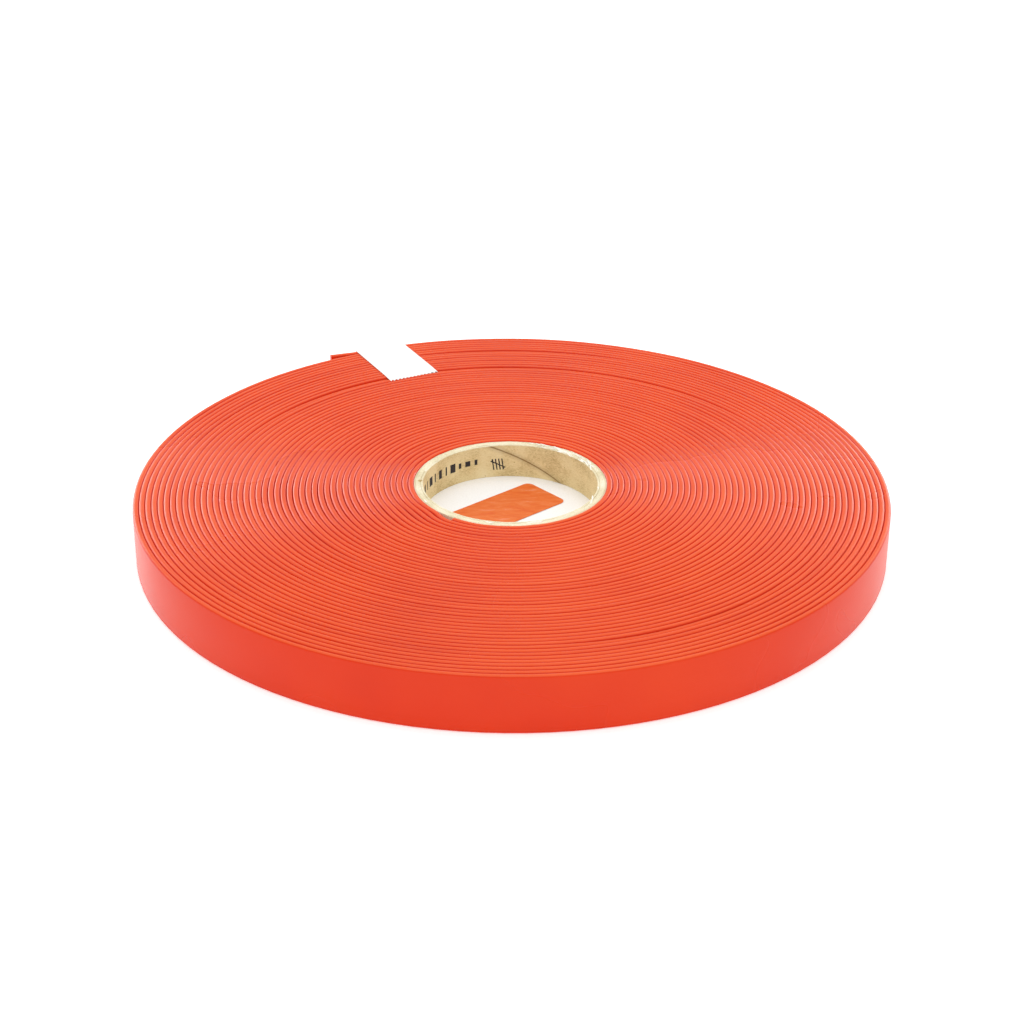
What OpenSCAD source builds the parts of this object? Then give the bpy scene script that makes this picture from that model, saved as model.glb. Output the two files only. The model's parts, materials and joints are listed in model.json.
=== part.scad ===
// A bulk roll of flat coated webbing belt, wound on a paperboard core and held by one strip of tape.
// Origin: the core's axis at the face that the roll lies on. +Z goes up along the axis.

/* [Belt] */
// Width of the belt, which is the height of the roll
belt_w = 25; // [19:1:38]
// Thickness of the belt over its coating
belt_t = 2.5; // [2:0.1:3.2]
// Coating over each face of the webbing
coat_t = 0.7; // [0.4:0.1:0.8]
// Coating past each edge of the webbing
coat_edge = 1; // [0.6:0.1:1.6]
// Air between one lap and the next
lap_gap = 0.1; // [0.05:0.01:0.2]
// Laps that follow the core all the way round, before the last open one
laps = 46; // [12:1:60]

/* [Winding] */
// Where the belt's inner end is fixed on the core, in degrees from +X
start_angle = -123.5; // [-180:0.5:180]
// Part of each lap, in degrees, over which it climbs onto the lap below
climb_angle = 90; // [60:6:120]
// How far the last lap runs from the inner end's angle to the bend of the loose end
last_lap_angle = 242; // [200:1:255]
// Width of the V between the rounded edges of two laps
edge_v_w = 1; // [0.6:0.1:1.4]
// Depth of the V between the rounded edges of two laps
edge_v_h = 0.5; // [0.2:0.1:0.8]

/* [Loose end] */
// Length of the loose end past its bend
tail_l = 12; // [8:1:40]
// How far the loose end stands out from the roll's tangent at rest, in degrees
tail_flare = 10; // [6:1:20]
// How far the bend stands off the lap below
tail_lift = 0.3; // [0.3:0.05:1]

/* [Core] */
// Bore of the paperboard core
core_bore = 76.2; // [50.8:0.1:152.4]
// Inner ply of the core wall
liner_t = 1; // [0.9:0.1:1.4]
// Wound middle plies of the core wall
board_t = 2.4; // [1.5:0.1:6]
// Outer ply of the core wall
wrap_t = 0.6; // [0.3:0.1:1]
// How far the core's upper end lies below the belt's edges
core_drop = 0.5; // [0:0.1:3]

/* [Card disc and label] */
// Thickness of the card disc in the core
disc_t = 1.5; // [1:0.1:3]
// Height of the disc's upper face over the roll's base
disc_top = 8.8; // [4:0.1:14]
// How deep the disc's rim bites into the core
disc_bite = 0.6; // [0.5:0.05:0.8]
// Length of the blank label
label_l = 50; // [20:1:50]
// Width of the blank label
label_w = 25; // [10:1:30]
// Corner radius of the blank label
label_r = 3; // [1:0.5:5]
// Direction that the label's end points in, in degrees from +X
label_angle = 42; // [0:1:90]
// How far the label's middle lies from the axis in that direction
label_shift = 2.1; // [-3:0.1:3]
// How far it lies to the left of that line, as a share of the bore's radius
label_side = 0.14; // [0:0.01:0.15]

/* [Tape] */
// Width of the tape strip
tape_w = 25; // [12:1:50]
// Thickness of the tape
tape_t = 0.2; // [0.15:0.01:0.4]
// Reach of the tape over the edges of the laps
tape_reach = 40; // [20:1:70]
// How far the tape's edge stays behind the bend of the loose end
tape_lead = 1.5; // [1:0.1:4]
// Skew of the tape from the radius, in degrees
tape_skew = 4.2; // [0:0.2:8]
// Height over the base at which the tape stops on the outer wall
tape_foot = 4; // [2:0.5:10]
// Pitch of the teeth that the dispenser's blade left in the tape's inner end
tooth_pitch = 1.8; // [1:0.1:3]
// Height of those teeth
tooth_h = 0.8; // [0.3:0.1:1.5]

/* [Hidden] */

pitch = belt_t + lap_gap;
bore_r = core_bore / 2;
board_r = bore_r + liner_t;
wrap_r = board_r + board_t;
core_r = wrap_r + wrap_t;
core_h = belt_w - core_drop;
core_res = 180;

lap_r = core_r + lap_gap;
last_lap_r = lap_r + laps * pitch;
roll_r = last_lap_r + belt_t;
climb_start = 360 - climb_angle;
lap_step = 3;
// Angle by which a pocket stays clear of the place where a climbing lap grazes the round one
graze = 3;
over = 5;

bend_r = last_lap_r + belt_t / 2 + tail_lift;
bend_angle = start_angle + last_lap_angle;
bend_clear = 0.3;
tail_dir = bend_angle + 90 - tail_flare;

disc_r = bore_r + disc_bite;
disc_slack = 0.05;
label_t = 0.15;
tape_air = 0.05;
tape_half_sweep = asin(tape_w / 2 / roll_r);
tape_angle = bend_angle - tape_half_sweep - 180 / PI * tape_lead / roll_r;
glue_sweep = 8;
glue_inset = 1;

// Point at angle a and radius r, with the angle counted from the belt's inner end
function at(a, r) = r * [cos(a + start_angle), sin(a + start_angle)];
// Share of one pitch that a lap climbs by angle a of its turn
function step_up(a) = a <= climb_start ? 0 : (1 - cos(180 * (a - climb_start) / climb_angle)) / 2;
// Pitches climbed from angle 0 to angle a, over any number of turns
function climbed(a) = floor(a / 360) + step_up(a - 360 * floor(a / 360));
// Angles from a to b, a fixed step apart, with b itself at the end
function steps(a, b) = concat([for (i = [0 : ceil((b - a) / lap_step) - 1]) a + i * lap_step], [b]);

// Plan of the band between two offsets from a lap's inner face, whose radius at the start is r
module lap_plan(r, from, to, inner, outer) {
  angles = steps(from, to);
  back = [for (i = [len(angles) - 1 : -1 : 0]) angles[i]];
  polygon(concat(
    [for (a = angles) at(a, r + pitch * climbed(a) + outer)],
    [for (a = back) at(a, r + pitch * climbed(a) + inner)]));
}

// Webbing of one lap, inside the coating
module lap_webbing(r, from, to) {
  translate([0, 0, coat_edge]) linear_extrude(belt_w - 2 * coat_edge)
    lap_plan(r, from, to, coat_t, belt_t - coat_t);
}

// Coating of one lap, open at both ends for the webbing
module lap_coating(r, from, to) {
  difference() {
    linear_extrude(belt_w) lap_plan(r, from, to, 0, belt_t);
    lap_webbing(r, from, to);
  }
}

// One ply of the paperboard core
module ply(inner, thickness) {
  difference() {
    cylinder(h = core_h, r = inner + thickness, $fn = core_res);
    translate([0, 0, -over]) cylinder(h = core_h + 2 * over, r = inner, $fn = core_res);
  }
}

// Inner ply, with the wider stretch that the disc pressed into it on its way up from below
module core_liner() color("burlywood") difference() {
  ply(bore_r, liner_t);
  translate([0, 0, -over])
    cylinder(h = over + disc_top + disc_slack, r = disc_r + disc_slack, $fn = core_res);
}

module core_board() color("tan") ply(board_r, board_t);

module core_wrap() color("cornsilk") ply(wrap_r, wrap_t);

module core_disc() color("white")
  translate([0, 0, disc_top - disc_t]) cylinder(h = disc_t, r = disc_r, $fn = core_res);

// Rounded rectangle with its far end towards +X, made of two bars and four corner discs
module label_plan() {
  long = label_l - 2 * label_r;
  wide = label_w - 2 * label_r;
  square([long, label_w], center = true);
  square([label_l, wide], center = true);
  for (x = [-long / 2, long / 2], y = [-wide / 2, wide / 2])
    translate([x, y]) circle(r = label_r, $fn = 48);
}

module disc_label() color("orangered")
  rotate([0, 0, label_angle]) translate([label_shift, label_side * bore_r, disc_top])
    linear_extrude(label_t) label_plan();

// Hot-melt bead in the wedge that the climbing first lap leaves in front of the belt's inner end
module start_glue() color("ivory")
  rotate([0, 0, start_angle - glue_sweep]) translate([0, 0, glue_inset])
    rotate_extrude(angle = glue_sweep - 0.5, $fn = core_res)
      translate([core_r, 0]) square([belt_t - lap_gap, core_h - 2 * glue_inset]);

module first_lap_coating() color("orangered") lap_coating(lap_r, 0, 360);

module first_lap_webbing() color("whitesmoke") lap_webbing(lap_r, 0, 360);

// Half profile of the pressed laps, with a V between the rounded upper edges of each two of them
module wound_profile() {
  inner = lap_r + pitch;
  outer = last_lap_r - lap_gap;
  v = edge_v_w / 2;
  polygon(concat(
    [[inner, 0], [outer, 0], [outer, belt_w - edge_v_h], [outer - v, belt_w]],
    [for (k = [laps - 1 : -1 : 2]) let (r = lap_r + k * pitch - lap_gap / 2)
      each [[r + v, belt_w], [r, belt_w - edge_v_h], [r - v, belt_w]]],
    [[inner + v, belt_w], [inner, belt_w - edge_v_h]]));
}

// The laps between the first and the last, as one closed ring with a pocket for each climbing lap
module wound_laps() color("tomato") difference() {
  rotate_extrude($fn = 360) wound_profile();
  translate([0, 0, -over]) linear_extrude(belt_w + 2 * over) {
    lap_plan(lap_r, climb_start + graze, 360, -over, pitch);
    lap_plan(last_lap_r - pitch, climb_start, 360 - graze, -lap_gap, belt_t + over);
  }
}

// Round space that the loose end's root turns in
module bend_space() {
  translate([bend_r * cos(bend_angle), bend_r * sin(bend_angle), -over])
    cylinder(h = belt_w + 2 * over, r = belt_t / 2 + bend_clear, $fn = 48);
}

module last_lap_coating() color("orangered") difference() {
  lap_coating(last_lap_r - pitch, climb_start, 360 + last_lap_angle);
  bend_space();
}

module last_lap_webbing() color("whitesmoke") difference() {
  lap_webbing(last_lap_r - pitch, climb_start, 360 + last_lap_angle);
  bend_space();
}

// Places a piece at the bend, with +X along the loose end
module at_bend() {
  translate([bend_r * cos(bend_angle), bend_r * sin(bend_angle), 0]) rotate([0, 0, tail_dir]) children();
}

// Bar with a round root at the origin, thickness t, from height z0 to z1
module tail_bar(t, z0, z1) {
  translate([0, 0, z0]) {
    cylinder(h = z1 - z0, r = t / 2, $fn = 48);
    translate([0, -t / 2, 0]) cube([tail_l, t, z1 - z0]);
  }
}

module tail_coating() color("orangered") at_bend() difference() {
  tail_bar(belt_t, 0, belt_w);
  tail_web();
}

module tail_web() tail_bar(belt_t - 2 * coat_t, coat_edge, belt_w - coat_edge);

module tail_webbing() color("whitesmoke") at_bend() tail_web();

// Plan of the tape's upper strip, with the toothed end towards the core
module tape_plan() {
  teeth = floor(tape_w / tooth_pitch);
  w = tape_w / teeth;
  polygon(concat(
    [[over, -tape_w / 2], [over, tape_w / 2]],
    [for (i = [0 : teeth - 1]) let (y = tape_w / 2 - i * w)
      each [[-tape_reach, y], [-tape_reach + tooth_h, y - w / 2]]],
    [[-tape_reach, -tape_w / 2]]));
}

// Places the tape's plan at the rim, with +X outwards along the tape
module at_tape() {
  rotate([0, 0, tape_angle]) translate([roll_r, 0, 0]) rotate([0, 0, tape_skew]) children();
}

module retaining_tape() color("white") {
  face_r = roll_r + tape_air;
  intersection() {
    at_tape() translate([0, 0, belt_w + tape_air]) linear_extrude(tape_t) tape_plan();
    cylinder(h = belt_w + over, r = face_r + tape_t / 2, $fn = 360);
  }
  rotate([0, 0, tape_angle - tape_half_sweep]) translate([0, 0, tape_foot])
    rotate_extrude(angle = 2 * tape_half_sweep, $fn = 360)
      translate([face_r, 0]) square([tape_t, belt_w + tape_air + tape_t - tape_foot]);
}

core_liner();
core_board();
core_wrap();
core_disc();
disc_label();
start_glue();
first_lap_coating();
first_lap_webbing();
wound_laps();
last_lap_coating();
last_lap_webbing();
tail_coating();
tail_webbing();
retaining_tape();
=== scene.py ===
# %% [markdown]
# # A roll of coated webbing belt
# The object is thirty metres of flat belt, wound edge-up on a paperboard core and held by one strip of tape.
# The imported CAD model is loaded as a fixed frame. Every piece made here takes its place from that frame
# and stands for a CAD node where it has more detail than the node; all but the loose end ride on one of its two
# bodies.

# %% Load the frame
import json
import math
import random

import bpy
from mathutils import Euler, Matrix, Vector, noise


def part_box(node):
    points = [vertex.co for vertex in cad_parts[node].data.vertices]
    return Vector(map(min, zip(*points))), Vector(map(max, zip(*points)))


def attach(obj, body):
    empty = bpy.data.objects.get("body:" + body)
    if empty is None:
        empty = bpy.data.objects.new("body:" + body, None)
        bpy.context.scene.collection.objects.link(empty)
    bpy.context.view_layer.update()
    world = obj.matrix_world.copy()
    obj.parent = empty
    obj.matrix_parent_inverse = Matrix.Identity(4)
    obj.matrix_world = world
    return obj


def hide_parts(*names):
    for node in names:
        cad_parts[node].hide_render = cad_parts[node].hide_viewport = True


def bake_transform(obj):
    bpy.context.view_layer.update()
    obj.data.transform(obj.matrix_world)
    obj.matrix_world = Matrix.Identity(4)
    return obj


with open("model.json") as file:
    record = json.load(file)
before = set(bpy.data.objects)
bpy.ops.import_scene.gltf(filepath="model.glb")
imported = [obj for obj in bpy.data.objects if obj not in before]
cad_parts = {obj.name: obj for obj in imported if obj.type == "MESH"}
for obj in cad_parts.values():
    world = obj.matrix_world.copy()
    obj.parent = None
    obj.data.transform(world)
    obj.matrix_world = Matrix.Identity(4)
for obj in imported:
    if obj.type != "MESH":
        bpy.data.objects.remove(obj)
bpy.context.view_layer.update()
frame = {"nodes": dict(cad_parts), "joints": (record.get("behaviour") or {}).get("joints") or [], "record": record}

# %% [markdown]
# ## Driving sizes
# The belt is wound as a spiral: each lap follows its neighbour for three quarters of a turn and climbs one
# pitch in the last quarter. The belt was pulled tight over its own inner end, so the innermost laps climb more
# steeply there, and each later lap a little less so. The radii are read back from the frame, so that the
# spiral made here lies where the CAD laps lie.

# %% Sizes of the belt, the winding and the core
MM = 0.001
BELT_T = 2.5 * MM
LAP_GAP = 0.1 * MM
PITCH = BELT_T + LAP_GAP
LAPS = 46
START_ANGLE = -123.5
CLIMB_ANGLE = 90
FIRST_CLIMB = 16
CLIMB_GROWTH = 3
LAST_LAP_ANGLE = 242
TAIL_FLARE = 10
TAIL_LENGTH = 12 * MM

BELT_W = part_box("wound_laps")[1][2]
CORE_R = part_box("core_wrap")[1][0]
CORE_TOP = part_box("core_wrap")[1][2]
BORE_R = frame["record"]["mounts"][1]["dims"]["r_mm"] * MM
FIRST_R = CORE_R + LAP_GAP
ROLL_R = FIRST_R + LAPS * PITCH + BELT_T
BEND = Vector(frame["joints"][0]["pos_m"])
print(f"belt {BELT_W / MM:.1f} mm wide, core {CORE_R / MM:.1f} mm, roll {ROLL_R / MM:.1f} mm in radius")


def climbed(angle):
    """Pitches climbed from the belt's inner end to an angle in degrees along it."""
    turn = math.floor(angle / 360)
    climb = min(CLIMB_ANGLE, FIRST_CLIMB + CLIMB_GROWTH * turn)
    rest = angle - 360 * turn - (360 - climb)
    return turn + (0 if rest <= 0 else (1 - math.cos(math.pi * rest / climb)) / 2)


def lap_point(angle, offset, z=0.0):
    """The point at an angle along the belt, at an offset outwards from its inner face."""
    r = FIRST_R + PITCH * climbed(angle) + offset
    a = math.radians(angle + START_ANGLE)
    return Vector((r * math.cos(a), r * math.sin(a), z))


# %% [markdown]
# ## Small tools
# Three helpers keep the later cells short. Everything is deselected before a primitive is added, because
# operators act on all that is selected. A finished piece has its place in its mesh and its object at the
# origin, so that patterns on object coordinates stay put.

# %% Helpers for pieces
def deselect():
    if bpy.context.mode != "OBJECT":
        bpy.ops.object.mode_set(mode="OBJECT")
    bpy.ops.object.select_all(action="DESELECT")


def only(obj):
    """Makes one object the selected and active one."""
    deselect()
    obj.select_set(True)
    bpy.context.view_layer.objects.active = obj
    return obj


def finish_piece(obj, name, body, material, smooth=40):
    """Applies the object's place, shades it, and gives it its name, body and material."""
    only(obj)
    bpy.ops.object.transform_apply(location=True, rotation=True, scale=True)
    bpy.ops.object.mode_set(mode="EDIT")
    bpy.ops.mesh.select_all(action="SELECT")
    bpy.ops.mesh.normals_make_consistent(inside=False)
    bpy.ops.object.mode_set(mode="OBJECT")
    bpy.ops.object.shade_smooth_by_angle(angle=math.radians(smooth))
    obj.name = name
    obj.data.materials.clear()
    obj.data.materials.append(material)
    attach(obj, body)
    print(f"{name}: {len(obj.data.polygons)} faces on {body}")
    return obj


def apply_modifier(obj, kind, **settings):
    """Adds a modifier with its settings and applies it."""
    only(obj)
    modifier = obj.modifiers.new(kind.title(), kind)
    for key, value in settings.items():
        setattr(modifier, key, value)
    bpy.ops.object.modifier_apply(modifier=modifier.name)


# %% [markdown]
# ## Materials
# Colours are written as the hex values that a painter would pick on a screen, and one function turns them to
# the linear values that a shader needs. One more function adds a node with its settings and its links.

# %% Helpers for materials
def linear(hex_code):
    """An sRGB hex colour as a linear RGBA tuple."""
    parts = [int(hex_code[i:i + 2], 16) / 255 for i in (0, 2, 4)]
    return tuple(c / 12.92 if c <= 0.04045 else ((c + 0.055) / 1.055) ** 2.4 for c in parts) + (1.0,)


def add_node(tree, kind, inputs=None, stops=None, **settings):
    """Adds a node, sets its properties, and fills its inputs with values or links.
    stops are the (position, hex colour) pairs of a node that has a colour ramp."""
    added = tree.nodes.new(kind)
    for key, value in settings.items():
        setattr(added, key, value)
    for key, value in (inputs or {}).items():
        if isinstance(value, bpy.types.NodeSocket):
            tree.links.new(value, added.inputs[key])
        else:
            added.inputs[key].default_value = value
    if stops:
        elements = added.color_ramp.elements
        while len(elements) < len(stops):
            elements.new(0.5)
        for element, (position, colour) in zip(elements, stops):
            element.position = position
            element.color = linear(colour)
    return added


def new_material(name, **sockets):
    """A material with one Principled shader. Returns the material, its tree and its shader."""
    material = bpy.data.materials.new(name)
    material.use_nodes = True
    tree = material.node_tree
    shader = tree.nodes["Principled BSDF"]
    for key, value in sockets.items():
        shader.inputs[key.replace("_", " ")].default_value = value
    return material, tree, shader


def per_mm(size_mm):
    """The scale of a pattern on object coordinates whose repeat has a size in millimetres."""
    return 1000 / size_mm


def polar(tree):
    """Object coordinates as radius and height, which are the same all along a wound strip."""
    place = add_node(tree, "ShaderNodeTexCoord").outputs["Object"]
    parts = add_node(tree, "ShaderNodeSeparateXYZ", {"Vector": place})
    flat = add_node(tree, "ShaderNodeCombineXYZ", {"X": parts.outputs["X"], "Y": parts.outputs["Y"]})
    radius = add_node(tree, "ShaderNodeVectorMath", {0: flat.outputs["Vector"]}, operation="LENGTH")
    return place, radius.outputs["Value"], parts.outputs["Z"]


# %% [markdown]
# ### Coated webbing
# The belt is polyester webbing drawn through molten polyurethane. The coating is a dense, fully saturated
# orange-red with a satin skin. Drawing leaves hair lines along the belt, the weave shows through the faces as
# a faint ripple, and every lap differs a little in tone because it left the die at another time. The lines are
# noise on radius and height only, so that they run along the belt however it is wound. The upper faces of the
# laps are painted paler than the walls and the grooves, a painted highlight for the light from above, so the
# colour also follows the normal. The real hair lines are under a tenth of a millimetre apart, too fine to show,
# so they are drawn half a millimetre apart.

# %% Belt coating
def make_coating():
    material, tree, shader = new_material("extruded_polyurethane_coating", Specular_IOR_Level=0.22, IOR=1.5)
    place, radius, height = polar(tree)
    along = add_node(tree, "ShaderNodeCombineXYZ", {"X": radius, "Y": height})
    lap = add_node(tree, "ShaderNodeCombineXYZ", {"X": radius})
    lap_tone = add_node(tree, "ShaderNodeTexNoise",
                        {"Vector": lap.outputs["Vector"], "Scale": per_mm(5), "Detail": 1.0})
    cloud = add_node(tree, "ShaderNodeTexNoise", {"Vector": place, "Scale": per_mm(60), "Detail": 2.0})
    tone = add_node(tree, "ShaderNodeMath",
                    {0: lap_tone.outputs["Fac"], 1: cloud.outputs["Fac"]}, operation="ADD")
    half = add_node(tree, "ShaderNodeMath", {0: tone.outputs["Value"], 1: 0.5}, operation="MULTIPLY")
    deep = add_node(tree, "ShaderNodeValToRGB", {"Fac": half.outputs["Value"]},
                    stops=[(0.3, "CF2A04"), (0.5, "DA3307"), (0.7, "DF3C0B")])
    # pale is a paler set of the same colours, used as a painted highlight on the lap tops
    pale = add_node(tree, "ShaderNodeValToRGB", {"Fac": half.outputs["Value"]},
                    stops=[(0.3, "D94413"), (0.5, "E24F19"), (0.7, "E75920")])
    facing = add_node(tree, "ShaderNodeTexCoord").outputs["Normal"]
    upward = add_node(tree, "ShaderNodeSeparateXYZ", {"Vector": facing})
    # painted highlight: faces that point up take the pale colours, as if lit from above; walls and grooves keep
    # the deep ones
    painted_top_highlight = add_node(tree, "ShaderNodeMapRange", {"Value": upward.outputs["Z"], "From Min": 0.7,
                                                   "From Max": 0.98, "To Min": 0.0, "To Max": 1.0})
    colour = add_node(tree, "ShaderNodeMix", {"Factor": painted_top_highlight.outputs["Result"], "A": deep.outputs["Color"],
                                              "B": pale.outputs["Color"]}, data_type="RGBA")
    tree.links.new(colour.outputs["Result"], shader.inputs["Base Color"])
    lines = add_node(tree, "ShaderNodeTexNoise",
                     {"Vector": along.outputs["Vector"], "Scale": per_mm(0.5), "Detail": 3.0})
    weave = add_node(tree, "ShaderNodeTexVoronoi", {"Vector": place, "Scale": per_mm(1.4)})
    grain = add_node(tree, "ShaderNodeTexNoise", {"Vector": place, "Scale": per_mm(0.25), "Detail": 2.0})
    low = add_node(tree, "ShaderNodeBump",
                   {"Height": weave.outputs["Distance"], "Strength": 0.06, "Distance": 0.0002})
    mid = add_node(tree, "ShaderNodeBump", {"Height": lines.outputs["Fac"], "Strength": 0.25,
                                            "Distance": 0.0001, "Normal": low.outputs["Normal"]})
    fine = add_node(tree, "ShaderNodeBump", {"Height": grain.outputs["Fac"], "Strength": 0.15,
                                             "Distance": 0.00005, "Normal": mid.outputs["Normal"]})
    tree.links.new(fine.outputs["Normal"], shader.inputs["Normal"])
    rough = add_node(tree, "ShaderNodeMapRange", {"Value": cloud.outputs["Fac"], "From Min": 0.3,
                                                  "From Max": 0.7, "To Min": 0.22, "To Max": 0.32})
    tree.links.new(rough.outputs["Result"], shader.inputs["Roughness"])
    return material


coating = make_coating()
print("coating:", coating.name)

# %% [markdown]
# ### Core board
# Kraft board is brown pulp with long fibres and dark specks. Where the core was cut, the pulp shows pale and
# fuzzy, with a line at each glued ply. An image of board would repeat and need unwrapping, so the fibres are
# noise, the specks are cells, and the seam and the plies are worked out from angle, height and radius. The seam
# is a dark line with painted shade, a soft darkening, to either side of it.

# %% Kraft face and cut edge
SEAM_WOBBLE = 0.6 * MM


def make_board(name, dark, mid, light, fibre_mm, ply_mm=None, seam=None, stain=None):
    """Pulp board with fibres and specks. A cut edge has ply lines by radius and may have a stain at a point.
    A wound face may have a seam, a dark line with painted shade to either side: its angle in degrees, its height
    there, and its climb for each degree."""
    material, tree, shader = new_material(name, IOR=1.45)
    place, radius, _ = polar(tree)
    stretched = add_node(tree, "ShaderNodeMapping", {"Vector": place, "Scale": (1.0, 1.0, 3.0)})
    fibres = add_node(tree, "ShaderNodeTexNoise", {"Vector": stretched.outputs["Vector"],
                                                   "Scale": per_mm(fibre_mm), "Detail": 5.0, "Roughness": 0.65})
    cloud = add_node(tree, "ShaderNodeTexNoise", {"Vector": place, "Scale": per_mm(14), "Detail": 2.0})
    mixed = add_node(tree, "ShaderNodeMath",
                     {0: fibres.outputs["Fac"], 1: cloud.outputs["Fac"]}, operation="ADD")
    half = add_node(tree, "ShaderNodeMath", {0: mixed.outputs["Value"], 1: 0.5}, operation="MULTIPLY")
    colour = add_node(tree, "ShaderNodeValToRGB", {"Fac": half.outputs["Value"]},
                      stops=[(0.34, dark), (0.5, mid), (0.66, light)])
    specks = add_node(tree, "ShaderNodeTexVoronoi", {"Vector": place, "Scale": per_mm(2.6)})
    near = add_node(tree, "ShaderNodeMath", {0: specks.outputs["Distance"], 1: 0.09}, operation="LESS_THAN")
    speckled = add_node(tree, "ShaderNodeMix", {"Factor": near.outputs["Value"], "A": colour.outputs["Color"],
                                                "B": linear(dark)}, data_type="RGBA")
    shade = speckled.outputs["Result"]
    if ply_mm:
        turns = add_node(tree, "ShaderNodeMath", {0: radius, 1: per_mm(ply_mm)}, operation="MULTIPLY")
        part = add_node(tree, "ShaderNodeMath", {0: turns.outputs["Value"]}, operation="FRACT")
        line = add_node(tree, "ShaderNodeMath", {0: part.outputs["Value"], 1: 0.22}, operation="LESS_THAN")
        weak = add_node(tree, "ShaderNodeMath", {0: line.outputs["Value"], 1: 0.35}, operation="MULTIPLY")
        plied = add_node(tree, "ShaderNodeMix", {"Factor": weak.outputs["Value"], "A": shade,
                                                 "B": linear(dark)}, data_type="RGBA")
        shade = plied.outputs["Result"]
    if seam:
        degrees, height, climb = seam
        climb = math.degrees(climb)
        parts = add_node(tree, "ShaderNodeSeparateXYZ", {"Vector": place})
        angle = add_node(tree, "ShaderNodeMath",
                         {0: parts.outputs["Y"], 1: parts.outputs["X"]}, operation="ARCTAN2")
        level = add_node(tree, "ShaderNodeMath",
                         {0: angle.outputs["Value"], 1: -climb, 2: parts.outputs["Z"]}, operation="MULTIPLY_ADD")
        wobble = add_node(tree, "ShaderNodeMath", {0: fibres.outputs["Fac"], 1: SEAM_WOBBLE,
                                                   2: level.outputs["Value"]}, operation="MULTIPLY_ADD")
        start = height - climb * math.radians(degrees) + SEAM_WOBBLE / 2
        off = add_node(tree, "ShaderNodeMath", {0: wobble.outputs["Value"], 1: start}, operation="SUBTRACT")
        away = add_node(tree, "ShaderNodeMath", {0: off.outputs["Value"]}, operation="ABSOLUTE")
        # the first pass is the dark seam joint; the second is painted shade, a soft darkening up to 2.4 mm to
        # either side
        for near_m, far_m, most in ((0.0001, 0.0005, 0.85), (0.0003, 0.0024, 0.3)):
            line = add_node(tree, "ShaderNodeMapRange", {"Value": away.outputs["Value"], "From Min": near_m,
                                                         "From Max": far_m, "To Min": most, "To Max": 0.0})
            seam_line_and_painted_shade = add_node(tree, "ShaderNodeMix", {"Factor": line.outputs["Result"], "A": shade,
                                                      "B": linear("7A5B2E")}, data_type="RGBA")
            shade = seam_line_and_painted_shade.outputs["Result"]
    if stain:
        gap = add_node(tree, "ShaderNodeVectorMath", {0: place, 1: stain}, operation="DISTANCE")
        spot = add_node(tree, "ShaderNodeMapRange", {"Value": gap.outputs["Value"], "From Min": 0.0006,
                                                     "From Max": 0.0014, "To Min": 0.8, "To Max": 0.0})
        stained = add_node(tree, "ShaderNodeMix", {"Factor": spot.outputs["Result"], "A": shade,
                                                   "B": linear("B08A3C")}, data_type="RGBA")
        shade = stained.outputs["Result"]
    tree.links.new(shade, shader.inputs["Base Color"])
    rough = add_node(tree, "ShaderNodeMapRange", {"Value": fibres.outputs["Fac"], "From Min": 0.3, "From Max": 0.7,
                                                  "To Min": 0.78, "To Max": 0.92})
    tree.links.new(rough.outputs["Result"], shader.inputs["Roughness"])
    bump = add_node(tree, "ShaderNodeBump",
                    {"Height": fibres.outputs["Fac"], "Strength": 0.5, "Distance": 0.0001})
    tree.links.new(bump.outputs["Normal"], shader.inputs["Normal"])
    return material


# The seam's angle in degrees, its height there, and its climb for each degree
LINER_SEAM = (104, 24 * MM, 0.3 * MM)
RIM_STAIN = (-39.4 * MM, 0.8 * MM, 24.5 * MM)
kraft = make_board("kraft_paperboard", "B69C69", "E3CE9C", "EFDFB6", 1.1, seam=LINER_SEAM)
cut_board = make_board("cut_paperboard_edge", "CDBE94", "E8DEBE", "F5EEDA", 0.7, ply_mm=0.65, stain=RIM_STAIN)
print("board:", kraft.name, cut_board.name)

# %% [markdown]
# ### Paper, card, glue and yarn
# The disc is bleached card, the tape is creped paper, and torn board shows raw white pulp. Glue and yarn are no
# paper, but they too are one pale colour with a soft grain, so one function serves all of them. Real paper
# fibres are a fiftieth of a millimetre thick and wouldn't show, so the grain is drawn at half a millimetre up.

# %% Pale finishes
def make_paper(name, base, shadow, roughness, grain_mm, strength):
    """Bleached paper or card: nearly white, with a soft grain."""
    material, tree, shader = new_material(name, IOR=1.45)
    place = add_node(tree, "ShaderNodeTexCoord").outputs["Object"]
    grain = add_node(tree, "ShaderNodeTexNoise",
                     {"Vector": place, "Scale": per_mm(grain_mm), "Detail": 4.0, "Roughness": 0.6})
    colour = add_node(tree, "ShaderNodeValToRGB", {"Fac": grain.outputs["Fac"]},
                      stops=[(0.3, shadow), (0.6, base)])
    tree.links.new(colour.outputs["Color"], shader.inputs["Base Color"])
    rough = add_node(tree, "ShaderNodeMapRange", {"Value": grain.outputs["Fac"], "From Min": 0.3, "From Max": 0.7,
                                                  "To Min": roughness - 0.07, "To Max": roughness + 0.07})
    tree.links.new(rough.outputs["Result"], shader.inputs["Roughness"])
    bump = add_node(tree, "ShaderNodeBump",
                    {"Height": grain.outputs["Fac"], "Strength": strength, "Distance": 0.0001})
    tree.links.new(bump.outputs["Normal"], shader.inputs["Normal"])
    return material


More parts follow.
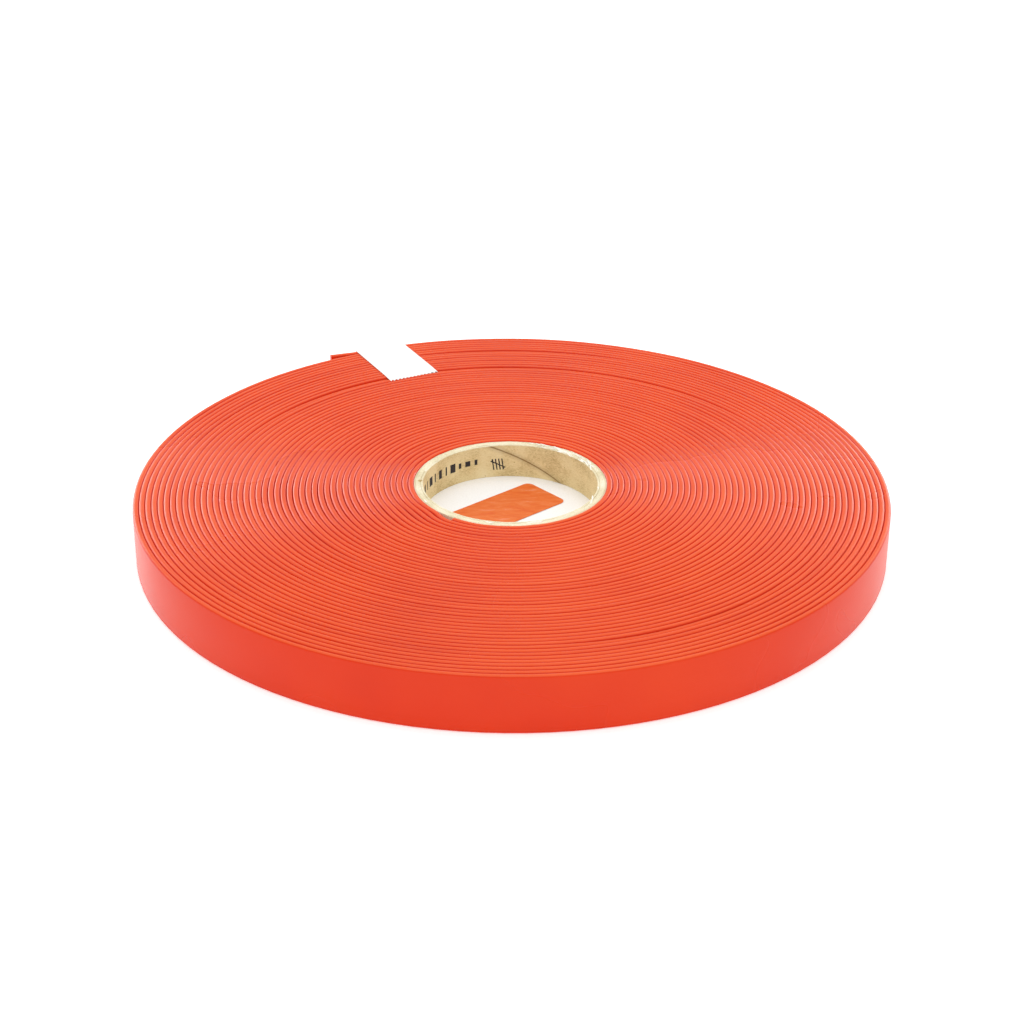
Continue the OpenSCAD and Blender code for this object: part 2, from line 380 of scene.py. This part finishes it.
white_card = make_paper("bleached_card", "F8F8F8", "F1F1F0", 0.7, 0.8, 0.25)
tape_paper = make_paper("creped_paper_tape", "F4F4F2", "EAEAE7", 0.6, 0.5, 0.4)
glue_wax = make_paper("hot_melt_glue", "DACDB9", "BDA98C", 0.35, 1.5, 0.3)
torn_pulp = make_paper("torn_paper_pulp", "FBF8F0", "EFE6D2", 0.85, 0.6, 0.5)
yarn = make_paper("polyester_yarn_ends", "F2ECE0", "CDBFA6", 0.8, 0.3, 0.6)
print("pale finishes:", white_card.name, tape_paper.name, glue_wax.name, torn_pulp.name, yarn.name)

# %% [markdown]
# ### Label stock
# The label is coated paper, printed orange all over and left blank. Rubbing on the card wore it pale in long
# patches, so the colour and the gloss follow one noise, stretched along the rubbing.

# %% Orange label stock
def make_label():
    """Matt orange label stock, worn pale by rubbing in a few places."""
    material, tree, shader = new_material("orange_label_stock", IOR=1.45, Specular_IOR_Level=0.3)
    place = add_node(tree, "ShaderNodeTexCoord").outputs["Object"]
    turned = add_node(tree, "ShaderNodeMapping",
                      {"Vector": place, "Rotation": (0, 0, math.radians(-30)), "Scale": (1.0, 3.5, 1.0)})
    rub = add_node(tree, "ShaderNodeTexNoise",
                   {"Vector": turned.outputs["Vector"], "Scale": per_mm(9), "Detail": 4.0, "Roughness": 0.7})
    colour = add_node(tree, "ShaderNodeValToRGB", {"Fac": rub.outputs["Fac"]},
                      stops=[(0.32, "DC5C1C"), (0.5, "E36F2C"), (0.62, "E67B42"), (0.72, "EC997C")])
    tree.links.new(colour.outputs["Color"], shader.inputs["Base Color"])
    rough = add_node(tree, "ShaderNodeMapRange", {"Value": rub.outputs["Fac"], "From Min": 0.3, "From Max": 0.7,
                                                  "To Min": 0.42, "To Max": 0.6})
    tree.links.new(rough.outputs["Result"], shader.inputs["Roughness"])
    bump = add_node(tree, "ShaderNodeBump",
                    {"Height": rub.outputs["Fac"], "Strength": 0.2, "Distance": 0.0002})
    tree.links.new(bump.outputs["Normal"], shader.inputs["Normal"])
    return material


label_stock = make_label()
print("label:", label_stock.name)

# %% [markdown]
# ### Ink
# Stamp and felt-pen ink soak into raw board unevenly. A flat black would look pasted on, so the ink thins to
# brown and goes dull where the fibres took less of it.

# %% Ink on board
def make_ink():
    """Ink soaked into raw board: nearly black, browner and duller where the fibres took less of it."""
    material, tree, shader = new_material("felt_pen_ink", IOR=1.45)
    place = add_node(tree, "ShaderNodeTexCoord").outputs["Object"]
    soak = add_node(tree, "ShaderNodeTexNoise",
                    {"Vector": place, "Scale": per_mm(0.9), "Detail": 4.0, "Roughness": 0.65})
    colour = add_node(tree, "ShaderNodeValToRGB", {"Fac": soak.outputs["Fac"]},
                      stops=[(0.35, "131117"), (0.58, "29252A"), (0.72, "54483A")])
    tree.links.new(colour.outputs["Color"], shader.inputs["Base Color"])
    rough = add_node(tree, "ShaderNodeMapRange", {"Value": soak.outputs["Fac"], "From Min": 0.3, "From Max": 0.7,
                                                  "To Min": 0.45, "To Max": 0.8})
    tree.links.new(rough.outputs["Result"], shader.inputs["Roughness"])
    bump = add_node(tree, "ShaderNodeBump",
                    {"Height": soak.outputs["Fac"], "Strength": 0.4, "Distance": 0.0001})
    tree.links.new(bump.outputs["Normal"], shader.inputs["Normal"])
    return material


ink = make_ink()
print("ink:", ink.name)

# %% [markdown]
# ## Camera and light
# The roll is seen from in front and about 27 degrees above, through a medium-long lens. The light is a plain
# high-key studio: an even white surround, one large soft box above and one at each side, over white paper that
# glows a little, as on a light table. Shadows nearly vanish, and the coating shows only broad reflections.

# %% Camera
EYE = Vector((0.0, -0.8470, 0.4392))
LOOK = Vector((0.000862, 0.891919, -0.452195))
CAMERA_ROLL = 0.47
LENS_MM = 75.96

deselect()
bpy.ops.object.camera_add(location=EYE)
camera = bpy.context.object
camera.name = "camera"
aim = LOOK.to_track_quat("-Z", "Y").to_matrix() @ Matrix.Rotation(math.radians(CAMERA_ROLL), 3, "Z")
camera.rotation_euler = aim.to_euler()
camera.data.lens = LENS_MM
camera.data.sensor_width = 36
camera.data.clip_start = 0.01
bpy.context.scene.camera = camera
bpy.context.scene.view_settings.view_transform = "Standard"
print("camera at", [round(c, 3) for c in camera.location])

# %% [markdown]
# The two side boxes stand behind the roll, so that the wall mirrors them only near its ends. The floor glows
# because white paper lit from above alone would take a pink cast from the belt.

# %% Surround, soft boxes and floor
FLOOR_GLOW = 0.33
FLOOR_DROP = 0.1 * MM
world = bpy.data.worlds.new("white_surround")
bpy.context.scene.world = world
world.use_nodes = True
world.node_tree.nodes["Background"].inputs["Color"].default_value = (1, 1, 1, 1)
world.node_tree.nodes["Background"].inputs["Strength"].default_value = 0.84

for name, place, watts, size in (("soft_box_top", (0.0, 0.0, 1.6), 9, 1.4),
                                 ("soft_box_left", (-1.15, 1.5, 0.5), 13, 1.0),
                                 ("soft_box_right", (1.0, 1.7, 0.5), 8.5, 0.8)):
    deselect()
    bpy.ops.object.light_add(type="AREA", location=place)
    box = bpy.context.object
    box.name = name
    box.data.energy = watts
    box.data.size = size
    box.rotation_euler = (-Vector(place)).to_track_quat("-Z", "Y").to_euler()

paper_floor, floor_tree, floor_shader = new_material("white_paper_sweep", Roughness=0.8)
floor_place = add_node(floor_tree, "ShaderNodeTexCoord").outputs["Object"]
floor_grain = add_node(floor_tree, "ShaderNodeTexNoise", {"Vector": floor_place, "Scale": per_mm(2)})
floor_colour = add_node(floor_tree, "ShaderNodeValToRGB", {"Fac": floor_grain.outputs["Fac"]},
                        stops=[(0.3, "FBFBFB"), (0.7, "FFFFFF")])
floor_tree.links.new(floor_colour.outputs["Color"], floor_shader.inputs["Base Color"])
floor_shader.inputs["Specular IOR Level"].default_value = 0.1
floor_shader.inputs["Emission Color"].default_value = (1, 1, 1, 1)
floor_shader.inputs["Emission Strength"].default_value = FLOOR_GLOW
deselect()
bpy.ops.mesh.primitive_plane_add(size=12, location=(0, 0, -FLOOR_DROP))
floor = bpy.context.object
floor.name = "floor"
floor.data.materials.append(paper_floor)
print("light: three soft boxes over a white floor")

# %% [markdown]
# ## The wound belt
# The belt is one strap, on edge, from the core to the tape. Spin closes on itself and Screw climbs only along
# its axis, so neither makes a flat spiral. The strap's section is therefore drawn once, as a plane
# with bevelled corners, and then repeated along the winding law by a short function. The upper corners are
# rounder and finer than the lower ones, because the groove between two laps is what gives the roll its look.
# Rubbery laps are pressed snugly together, so the strap is drawn a hair thicker on its inner side.

# %% Section of the strap
TOP_ROUND = 0.8 * MM
FOOT_ROUND = 0.4 * MM
SNUG = 0.07 * MM


def strap_section():
    """The outline of the belt's section, in order: x outwards from the inner face, y upwards."""
    deselect()
    bpy.ops.mesh.primitive_plane_add(size=1, location=((BELT_T - SNUG) / 2, BELT_W / 2, 0))
    plane = bpy.context.object
    plane.scale = (BELT_T + SNUG, BELT_W, 1)
    bpy.ops.object.transform_apply(location=True, rotation=False, scale=True)
    for top, offset, segments in ((True, TOP_ROUND, 3), (False, FOOT_ROUND, 2)):
        for v in plane.data.vertices:
            v.select = (v.co.y > BELT_W / 2) == top
        bpy.ops.object.mode_set(mode="EDIT")
        bpy.ops.mesh.select_mode(type="VERT")
        bpy.ops.mesh.bevel(offset=offset, segments=segments, affect="VERTICES")
        bpy.ops.mesh.select_all(action="DESELECT")
        bpy.ops.object.mode_set(mode="OBJECT")
    outline = [plane.data.vertices[i].co.xy.copy() for i in plane.data.polygons[0].vertices]
    bpy.data.objects.remove(plane)
    return outline


section = strap_section()
print(f"strap section of {len(section)} points")

# %% [markdown]
# A strap that follows a law can be a curve with a bevel, but a curve bevel tilts and thins on tight turns. Here
# the section is placed again at each step and neighbouring rings are joined by faces, which keeps it true.

# %% Sweep of a section
def sweep(rings, name):
    """A closed solid through rings of points, all with the same number of points."""
    count = len(rings[0])
    faces = [(r * count + i, r * count + (i + 1) % count, (r + 1) * count + (i + 1) % count, (r + 1) * count + i)
             for r in range(len(rings) - 1) for i in range(count)]
    faces += [tuple(range(count))[::-1], tuple((len(rings) - 1) * count + i for i in range(count))]
    mesh = bpy.data.meshes.new(name)
    mesh.from_pydata([p for ring in rings for p in ring], [], faces)
    swept = bpy.data.objects.new(name, mesh)
    bpy.context.scene.collection.objects.link(swept)
    return swept


# %% [markdown]
# No two laps stand at quite the same height: each sits up to a third of a millimetre lower than the tallest.
# Three short stretches were wound in lower still and show as darker arcs. The heights are noise on the lap's
# number, so that they change slowly along the belt.

# %% Heights of the laps
LAP_UNEVEN = 0.28 * MM
# Radius, first and last angle in degrees, and depth of each stretch
SUNK_STRETCHES = ((126.7 * MM, 32, 168, 0.55 * MM),
                  (142.0 * MM, -82, -40, 0.4 * MM),
                  (147.4 * MM, 66, 116, 0.35 * MM))


def sunk(r, degrees):
    """How far a point of the winding lies below the tallest lap."""
    depth = 0.0
    for radius, start, end, most in SUNK_STRETCHES:
        if abs(r - radius) < PITCH / 2 and start < degrees < end:
            depth = most * math.sin(math.pi * (degrees - start) / (end - start)) ** 0.5
    return depth


def lap_top_drop(angle):
    """The drop of the belt's upper edge at an angle along it."""
    turns = angle / 360
    wander = noise.noise(Vector((turns * 7.3, 0.0, 3.1))) + 0.5 * noise.noise(Vector((turns * 29.0, 5.0, 1.7)))
    place = lap_point(angle, BELT_T / 2)
    return LAP_UNEVEN * min(1, max(0, 0.45 + 0.6 * wander)) + sunk(
        place.xy.length, math.degrees(math.atan2(place.y, place.x)))


# %% [markdown]
# The strap is swept from its inner end to a place under the tape, where the separate loose end takes over.

# %% The wound belt
STEP = 3
UNDER_TAPE = 3
belt_end_angle = LAPS * 360 + LAST_LAP_ANGLE
rings = []
turn_count = int((belt_end_angle - UNDER_TAPE) / STEP)
for k in range(turn_count + 1):
    angle = k * STEP
    drop = lap_top_drop(angle)
    rings.append([lap_point(angle, p.x, p.y - drop * (p.y / BELT_W)) for p in section])
belt_roll = finish_piece(sweep(rings, "belt_roll"), "belt_roll", "roll", coating, smooth=50)
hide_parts("first_lap_coating", "wound_laps", "last_lap_coating")
roll_end_angle = turn_count * STEP

# %% [markdown]
# ## The loose end
# The last twelve millimetres stand off the roll, past the tape. The same section is swept on, from under the
# tape and through the bend.

# %% Loose end of the belt
end_degrees = belt_end_angle + START_ANGLE
tail_heading = math.radians(end_degrees + 90 - TAIL_FLARE)
tail_along = Vector((math.cos(tail_heading), math.sin(tail_heading), 0))
tail_out = Vector((tail_along.y, -tail_along.x, 0))
BEND_FOOT = Vector((BEND.x, BEND.y, 0))
SHORT_OF_BEND = 0.9
UNDER_STEPS = 4
rings = []
for k in range(UNDER_STEPS + 1):
    angle = roll_end_angle + (belt_end_angle - SHORT_OF_BEND - roll_end_angle) * k / UNDER_STEPS
    drop = lap_top_drop(angle)
    rings.append([lap_point(angle, p.x, p.y - drop * (p.y / BELT_W)) for p in section])
TAIL_STEPS = 10
drop = lap_top_drop(belt_end_angle)
for k in range(1, TAIL_STEPS + 1):
    along = BEND_FOOT + tail_along * (TAIL_LENGTH * k / TAIL_STEPS)
    rings.append([along + tail_out * (p.x - BELT_T / 2) + Vector((0, 0, p.y - drop * (p.y / BELT_W)))
                  for p in section])
loose_end = sweep(rings, "belt_loose_end")
only(loose_end)
bpy.ops.object.mode_set(mode="EDIT")
bpy.ops.mesh.select_all(action="SELECT")
bpy.ops.mesh.normals_make_consistent(inside=False)
bpy.ops.object.mode_set(mode="OBJECT")
bpy.ops.object.shade_smooth_by_angle(angle=math.radians(50))
loose_end.data.materials.append(coating)
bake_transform(loose_end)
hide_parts("tail_coating")
tail_tip = BEND_FOOT + tail_along * TAIL_LENGTH
print("loose end tip at", [round(c / MM, 1) for c in tail_tip])

# %% [markdown]
# ## Cut webbing
# Where the belt was cut, the ends of the warp yarns show in the middle of the section, as two rows of pale
# bundles pressed flat by the coating. One bundle is a small ball, flattened; the rest are copies.

# %% Yarn bundles at the two cut ends
YARN_PITCH = 1.35 * MM
YARN_SIZE = Vector((0.5 * MM, 0.48 * MM, 0.55 * MM))
YARN_FOOT = 1.9 * MM
YARN_ROW = 0.3 * MM
rng = random.Random(11)


def cut_yarns(name, foot, out, along, body, node):
    """Two rows of yarn ends in a cut face. out crosses the belt's thickness and along leaves the face."""
    deselect()
    bpy.ops.mesh.primitive_ico_sphere_add(subdivisions=1, radius=1)
    bundle = bpy.context.object
    apply_modifier(bundle, "SUBSURF", levels=1, render_levels=1)
    copies = []
    rows = int((BELT_W - 3 * MM) / YARN_PITCH)
    for k in range(rows):
        for side in (-1, 1):
            one = bpy.data.objects.new("yarn", bundle.data.copy())
            bpy.context.scene.collection.objects.link(one)
            height = YARN_FOOT + (k + 0.25 * side) * YARN_PITCH
            centre = foot + out * (side * YARN_ROW) + along * (-0.3 + 0.2 * rng.random()) * MM
            one.matrix_world = Matrix.Translation(centre + Vector((0, 0, height))) @ Matrix(
                (out, along, (0, 0, 1))).transposed().to_4x4() @ Matrix.Diagonal(
                    (YARN_SIZE.x * 0.8, YARN_SIZE.y, YARN_SIZE.z * (0.9 + 0.25 * rng.random()), 1))
            copies.append(one)
    bpy.data.objects.remove(bundle)
    deselect()
    for one in copies:
        one.select_set(True)
    bpy.context.view_layer.objects.active = copies[0]
    bpy.ops.object.join()
    bpy.context.view_layer.update()
    joined = finish_piece(copies[0], name, body, yarn, smooth=60)
    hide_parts(node)
    return joined


cut_yarns("yarns_outer_end", tail_tip, tail_out, tail_along, "loose_end", "tail_webbing")
start_out = lap_point(0, 1.0) - lap_point(0, 0.0)
start_along = Vector((start_out.y, -start_out.x, 0))
cut_yarns("yarns_inner_end", lap_point(0, BELT_T / 2), start_out, start_along, "roll", "first_lap_webbing")
frame["nodes"]["last_lap_webbing"].data.materials.clear()
frame["nodes"]["last_lap_webbing"].data.materials.append(yarn)

# %% [markdown]
# ## The core
# A paperboard core is wound from glued plies and then sawn to length, so its rim is pale, fuzzy and a little
# crushed. Each ply here is a thin section, spun once round, with its upper edge roughened. The innermost ply
# keeps the exact bore, and is wider below the card disc, as in the CAD model.

# %% Plies of the core
CORE_STEPS = 240
DISC_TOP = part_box("core_disc")[1][2]
RECESS_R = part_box("core_disc")[1][0] + 0.05 * MM
LINER_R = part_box("core_liner")[1][0]
WRAP_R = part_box("core_board")[1][0]
CRUSH = 0.35 * MM


def spin_profile(points, name, steps=CORE_STEPS):
    """A closed profile of (radius, height) points, spun once round the vertical axis."""
    deselect()
    bpy.ops.mesh.primitive_circle_add(vertices=len(points), radius=1, fill_type="NOTHING")
    ring = bpy.context.object
    ring.name = name
    for v, (r, z) in zip(ring.data.vertices, points):
        v.co = (r, 0, z)
    bpy.ops.object.mode_set(mode="EDIT")
    bpy.ops.mesh.select_all(action="SELECT")
    bpy.ops.mesh.spin(steps=steps, angle=2 * math.pi, center=(0, 0, 0), axis=(0, 0, 1))
    bpy.ops.mesh.select_all(action="SELECT")
    bpy.ops.mesh.remove_doubles(threshold=0.00001)
    bpy.ops.mesh.normals_make_consistent(inside=False)
    bpy.ops.object.mode_set(mode="OBJECT")
    return ring


def crush_rim(obj, top, depth, seed):
    """Pushes the points of the upper edge down by a fine and a coarse noise."""
    for v in obj.data.vertices:
        if v.co.z > top - 0.4 * MM:
            fine = noise.noise(v.co * 900 + Vector((seed, 0, 0)))
            coarse = noise.noise(v.co * 120 + Vector((0, seed, 0)))
            v.co.z -= depth * max(0, 0.35 + 0.4 * fine + 0.5 * coarse)


def ply(name, inner, outer, node, material, seed):
    """One ply of the core, with a rounded and crushed upper edge."""
    third = (outer - inner) / 3
    top = CORE_TOP
    points = [(inner, 0), (inner, top - 0.25 * MM), (inner + 0.12 * MM, top), (inner + third, top),
              (outer - third, top), (outer - 0.12 * MM, top), (outer, top - 0.25 * MM), (outer, 0)]
    if node == "core_liner":
        points = [(RECESS_R, 0), (RECESS_R, DISC_TOP + 0.05 * MM), (BORE_R, DISC_TOP + 0.05 * MM)] + points[1:]
    made = spin_profile(points, name)
    crush_rim(made, top, CRUSH, seed)
    finish_piece(made, name, "roll", material)
    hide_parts(node)
    return made


liner = ply("core_liner_ply", BORE_R, LINER_R, "core_liner", kraft, 1)
liner.data.materials.append(cut_board)
for face in liner.data.polygons:
    if face.center.z > CORE_TOP - 0.6 * MM and face.normal.z > 0.3:
        face.material_index = 1
board = ply("core_board_plies", LINER_R, WRAP_R, "core_board", cut_board, 5)
wrap = ply("core_outer_ply", WRAP_R, CORE_R, "core_wrap", cut_board, 9)

# %% [markdown]
# The saw tears the innermost ply in places and leaves small pale flakes on the rim. One flake is a narrow
# plane, cut into short lengths, tapered and curled; the others are copies, scattered over the torn arc.

# %% Torn flakes on the rim
FLAKE_ARC = (18, 78)
FLAKE_SINK = 0.14 * MM
FLAKES = 76
TORN_FLAKES = 62
deselect()
bpy.ops.mesh.primitive_grid_add(x_subdivisions=6, y_subdivisions=1, size=1)
flake = bpy.context.object
for v in flake.data.vertices:
    taper = 1 - 0.75 * abs(v.co.x * 2) ** 2
    v.co = Vector((v.co.x * 3.2 * MM, v.co.y * 0.55 * MM * taper, 0.25 * MM * (v.co.x + 0.5) ** 2))
apply_modifier(flake, "SOLIDIFY", thickness=0.06 * MM, offset=0)
flakes = []
for k in range(FLAKES):
    one = bpy.data.objects.new("flake", flake.data.copy())
    bpy.context.scene.collection.objects.link(one)
    if k < TORN_FLAKES:
        a = math.radians(rng.uniform(*FLAKE_ARC))
    else:
        a = math.radians(rng.uniform(150, 400))
    r = rng.uniform(BORE_R + 0.2 * MM, CORE_R - 0.9 * MM)
    size = rng.uniform(0.45, 1.4)
    turn = a + math.pi / 2 + rng.uniform(-0.35, 0.35)
    one.matrix_world = (Matrix.Translation((r * math.cos(a), r * math.sin(a), CORE_TOP - FLAKE_SINK))
                        @ Euler((rng.uniform(-0.5, 0.5), rng.uniform(-0.1, 0.08), turn)).to_matrix().to_4x4()
                        @ Matrix.Diagonal((size, size, size, 1)))
    flakes.append(one)
bpy.data.objects.remove(flake)
deselect()
for one in flakes:
    one.select_set(True)
bpy.context.view_layer.objects.active = flakes[0]
bpy.ops.object.join()
finish_piece(flakes[0], "torn_flakes", "roll", torn_pulp)

# %% [markdown]
# ## Card disc and blank label
# The disc is stiff white card, cut a little too large and pressed in, so that it bows by a hair. The label is
# plain stock with rounded corners. Both are planes given their thickness, with soft waves moved in by noise.

# %% Card disc
deselect()
bpy.ops.mesh.primitive_circle_add(vertices=CORE_STEPS, radius=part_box("core_disc")[1][0],
                                  fill_type="NGON", location=(0, 0, DISC_TOP))
disc = bpy.context.object
bpy.ops.object.transform_apply(location=True, rotation=False, scale=False)
bpy.ops.object.mode_set(mode="EDIT")
bpy.ops.mesh.select_all(action="SELECT")
for ring_width in (0.4, 4, 6, 8, 8, 7):
    bpy.ops.mesh.inset(thickness=ring_width * MM)
bpy.ops.object.mode_set(mode="OBJECT")
for v in disc.data.vertices:
    if v.co.xy.length < BORE_R - 1 * MM:
        v.co.z += 0.06 * MM * (noise.noise(v.co * 60) - 1)
apply_modifier(disc, "SOLIDIFY", thickness=DISC_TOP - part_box("core_disc")[0][2] - 0.02 * MM, offset=-1)
apply_modifier(disc, "BEVEL", width=0.15 * MM, segments=2, limit_method="ANGLE")
finish_piece(disc, "card_disc", "roll", white_card)
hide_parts("core_disc")

# %% [markdown]
# The label starts as a plane with rounded corners, cut into a fine grid by bisecting, so that it can lie in
# soft waves with its edges lifted a little.

# %% Blank label
LABEL_T = 0.12 * MM
LABEL_ANGLE = math.radians(42)
LABEL_SIZE = (50 * MM, 25 * MM)
LABEL_ROUND = 3 * MM
low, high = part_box("disc_label")
label_centre = (low + high) / 2
deselect()
bpy.ops.mesh.primitive_plane_add(size=1)
label = bpy.context.object
label.scale = (*LABEL_SIZE, 1)
bpy.ops.object.transform_apply(location=False, rotation=False, scale=True)
bpy.ops.object.mode_set(mode="EDIT")
bpy.ops.mesh.select_mode(type="VERT")
bpy.ops.mesh.select_all(action="SELECT")
bpy.ops.mesh.bevel(offset=LABEL_ROUND, segments=8, affect="VERTICES")
for axis, reach, cuts in (((1, 0, 0), LABEL_SIZE[0] / 2, 20), ((0, 1, 0), LABEL_SIZE[1] / 2, 10)):
    for k in range(1, cuts):
        bpy.ops.mesh.select_all(action="SELECT")
        bpy.ops.mesh.bisect(plane_co=[c * reach * (2 * k / cuts - 1) for c in axis], plane_no=axis)
bpy.ops.object.mode_set(mode="OBJECT")
for v in label.data.vertices:
    edge = max(abs(v.co.x) / LABEL_SIZE[0], abs(v.co.y) / LABEL_SIZE[1]) * 2
    v.co.z += 0.05 * MM * (noise.noise(v.co * 110) + 1) + 0.25 * MM * max(0, edge - 0.75) ** 2
apply_modifier(label, "SOLIDIFY", thickness=LABEL_T, offset=1)
label.rotation_euler = (0, 0, LABEL_ANGLE)
label.location = (label_centre.x, label_centre.y, DISC_TOP + 0.01 * MM)
finish_piece(label, "blank_label", "roll", label_stock)
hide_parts("disc_label")

# %% [markdown]
# ## Retaining tape
# A strip of white paper tape was torn off against a toothed blade, stuck over the upper edge of the roll and
# folded down its wall. The strip starts as a flat grid. A short function lays each of its points along the
# tape: level over the laps, round the rim on a small radius, and then down the wall. Between two laps the
# paper sinks a little, which gives it faint ripples.

# %% Tape strip
tape_low, tape_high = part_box("retaining_tape")
TAPE_W = 25 * MM
TAPE_T = 0.2 * MM
TAPE_REACH = 41 * MM
TAPE_ANGLE = math.radians(113.6)
TAPE_SKEW = math.radians(4.2)
TEETH = 13
TOOTH = 1.0 * MM
FOLD_R = 0.5 * MM
RIPPLE = 0.03 * MM
PRESSED = 0.3 * MM
tape_along = Vector((math.cos(TAPE_ANGLE + TAPE_SKEW), math.sin(TAPE_ANGLE + TAPE_SKEW), 0))
tape_side = Vector((-tape_along.y, tape_along.x, 0))
tape_root = Vector((ROLL_R * math.cos(TAPE_ANGLE), ROLL_R * math.sin(TAPE_ANGLE), 0))
tape_air = tape_high[2] - TAPE_T - BELT_W
wall_r = ROLL_R + tape_air


def on_tape(u, t):
    """A point of the tape's under side. u runs across it; t is 0 to 1 level, to 2 round the rim, to 3 down."""
    start = tape_root + tape_side * u
    along = start.dot(tape_along)
    rim = -along + math.sqrt(along ** 2 - start.length_squared + wall_r ** 2)
    edge = start + tape_along * rim
    out = Vector((edge.x, edge.y, 0)).normalized()
    top = BELT_W + tape_air
    if t <= 1:
        reach = -TAPE_REACH + (rim - FOLD_R + TAPE_REACH) * t
        place = start + tape_along * reach
        ripple = RIPPLE * (1 + math.cos(2 * math.pi * place.length / PITCH)) * (1 - t ** 8)
        pressed = PRESSED * max(0, 1 - t * 5)
        return place + Vector((0, 0, top - ripple - pressed))
    if t <= 2:
        turn = (t - 1) * math.pi / 2
        return edge + out * FOLD_R * (math.sin(turn) - 1) + Vector((0, 0, top - FOLD_R * (1 - math.cos(turn))))
    down = (t - 2) * (top - FOLD_R - tape_low.z)
    back = Matrix.Rotation(-down * math.sin(TAPE_SKEW) / wall_r, 3, "Z")
    return back @ edge + Vector((0, 0, top - FOLD_R - down))


deselect()
LEVEL, ROUND, WALL = 64, 5, 12
bpy.ops.mesh.primitive_grid_add(x_subdivisions=TEETH * 2, y_subdivisions=LEVEL + ROUND + WALL, size=1)
tape = bpy.context.object
for v in tape.data.vertices:
    u = v.co.x * TAPE_W
    row = round((v.co.y + 0.5) * (LEVEL + ROUND + WALL))
    column = round((v.co.x + 0.5) * TEETH * 2)
    t = row / LEVEL if row <= LEVEL else (
        1 + (row - LEVEL) / ROUND if row <= LEVEL + ROUND else 2 + (row - LEVEL - ROUND) / WALL)
    if row == 0 and column % 2:
        t += TOOTH / TAPE_REACH
    if row == LEVEL + ROUND + WALL and column % 2:
        t -= TOOTH / (BELT_W - tape_low.z)
    v.co = on_tape(u, t)
bpy.ops.object.mode_set(mode="EDIT")
bpy.ops.mesh.select_all(action="SELECT")
bpy.ops.mesh.normals_make_consistent(inside=False)
bpy.ops.object.mode_set(mode="OBJECT")
normal = sum((p.normal for p in tape.data.polygons if p.center.z > BELT_W), Vector())
apply_modifier(tape, "SOLIDIFY", thickness=TAPE_T * (1 if normal.z > 0 else -1), offset=1)
finish_piece(tape, "paper_tape", "roll", tape_paper)
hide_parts("retaining_tape")

# %% [markdown]
# ## Glue bead
# The inner end is held to the core by a bead of hot-melt glue, which fills the wedge in front of it and swells
# where it cooled. It starts as a block, subdivided, rounded and made uneven, and is then bent round the core.

# %% Hot-melt bead
GLUE_SWEEP = 7.5
glue_low, glue_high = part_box("start_glue")
deselect()
bpy.ops.mesh.primitive_cube_add(size=1)
bead = bpy.context.object
bpy.ops.object.mode_set(mode="EDIT")
bpy.ops.mesh.subdivide(number_cuts=5)
bpy.ops.object.mode_set(mode="OBJECT")
for v in bead.data.vertices:
    swell = 1 - 0.35 * (2 * v.co.x) ** 4 - 0.2 * (2 * v.co.z) ** 6 + 0.25 * noise.noise(v.co * 5)
    back = 0.3 + GLUE_SWEEP * (v.co.x + 0.5)
    a = math.radians(START_ANGLE - back)
    depth = min(BELT_T, lap_point(360 - back, 0).length - CORE_R) - 2 * LAP_GAP
    r = CORE_R + depth * (v.co.y + 0.5) * max(0.2, min(1, swell))
    sag = 0.45 * (v.co.x + 0.5) ** 1.5
    z = glue_low.z + (glue_high.z - glue_low.z) * (v.co.z + 0.5) * (0.97 + 0.03 * swell - sag)
    v.co = Vector((r * math.cos(a), r * math.sin(a), z))
apply_modifier(bead, "SUBSURF", levels=1, render_levels=1)
finish_piece(bead, "glue_bead", "roll", glue_wax, smooth=180)
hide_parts("start_glue")

# %% [markdown]
# ## Marks inside the core
# The inside of the core carries a printed row and a few pen strokes. Here they are plain: a row of short
# printed bars, and a tally of four strokes crossed by a fifth. Each bar is a small grid laid on the wall.

# %% Printed bars and tally strokes
MARK_T = 0.03 * MM
marks = []


def wall_mark(degrees, height, width, tall, lean=0.0):
    """A bar on the inner wall, about a place given by its angle and height. lean turns it, in degrees."""
    deselect()
    bpy.ops.mesh.primitive_grid_add(x_subdivisions=6, y_subdivisions=6, size=1)
    bar = bpy.context.object
    turn = Matrix.Rotation(math.radians(lean), 2)
    for v in bar.data.vertices:
        across, up = turn @ Vector((v.co.x * width, v.co.y * tall))
        ragged = 0.12 * MM * noise.noise(Vector((across, up, degrees)) * 1500)
        a = math.radians(degrees) - (across + ragged) / BORE_R
        v.co = Vector((BORE_R * math.cos(a), BORE_R * math.sin(a), height + up + ragged))
    apply_modifier(bar, "SOLIDIFY", thickness=MARK_T, offset=0)
    marks.append(bar)


# Width and height of each printed bar in millimetres
BARS = ((2.2, 4.2), (0.9, 4.2), (3.0, 4.2), (0.9, 4.2), (2.2, 4.2),
        (0.9, 4.2), (3.0, 4.2), (1.4, 2.6), (2.6, 2.6), (1.4, 2.6))
for k, (width, tall) in enumerate(BARS):
    wall_mark(170 - 6.2 * k, 17.2 * MM, width * MM, tall * MM)
for k in range(4):
    wall_mark(102 - 2.2 * k, 15 * MM, 0.6 * MM, 5.5 * MM, lean=8)
wall_mark(98.6, 15 * MM, 0.6 * MM, 7.5 * MM, lean=62)
deselect()
for bar in marks:
    bar.select_set(True)
bpy.context.view_layer.objects.active = marks[0]
bpy.ops.object.join()
finish_piece(marks[0], "wall_marks", "roll", ink)
